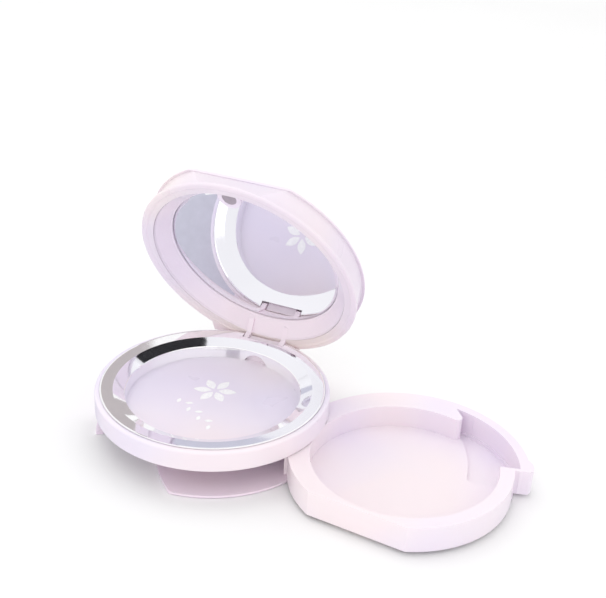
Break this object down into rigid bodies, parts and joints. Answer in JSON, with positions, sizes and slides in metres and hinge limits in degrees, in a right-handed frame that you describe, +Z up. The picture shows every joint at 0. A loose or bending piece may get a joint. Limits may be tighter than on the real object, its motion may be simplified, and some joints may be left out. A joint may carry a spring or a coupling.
{
  "type": "powder compact",
  "caption": "Round powder compact with a mirror lid on a rear hinge, a plated ring round the powder well, and a puff tray that swings out from under the case.",
  "frame": {"origin": "centre of the round bottom plate's underside, on the table", "axes": "+Z up; +Y towards the lid hinge at the rear; the tray swings out towards +X"},
  "size_m": [0.1404, 0.0828, 0.0828],
  "materials": {
    "shell": "pearl lilac-pink moulded plastic",
    "plate": "pearl lilac-pink moulded plastic",
    "tray": "pearl lilac-pink moulded plastic, satin",
    "plating": "bright vacuum plating",
    "steel": "plain steel wire",
    "magnet": "nickel plated magnet",
    "mirror": "silvered glass with a bevelled edge",
    "adhesive": "foam tape",
    "bearing": "natural acetal"
  },
  "bodies": {
    "base": {"base_shell": "plate", "upper_case": "shell", "bezel_ring": "plating", "case_magnet": "magnet", "hinge_pin": "steel", "pivot_pin": "steel", "pivot_washer_lower": "bearing", "pivot_washer_upper": "bearing"},
    "lid": {"lid_shell": "shell", "lid_frame": "shell", "lid_cover": "shell", "mirror_glass": "mirror", "mirror_tape": "adhesive", "lid_magnet": "magnet"},
    "tray": {"tray_shell": "tray", "pivot_bush": "bearing"}
  },
  "joints": [
    {"name": "lid_hinge", "type": "hinge", "parent": "base", "child": "lid", "pos_m": [0, 0.0347, 0.0155], "axis": [-1, 0, 0], "range_deg": [-65.4, 30]},
    {"name": "tray_pivot", "type": "hinge", "parent": "base", "child": "tray", "pos_m": [0.03301, 0.0019, 0.005], "axis": [0, 0, 1], "range_deg": [-175.8, 0]}
  ]
}
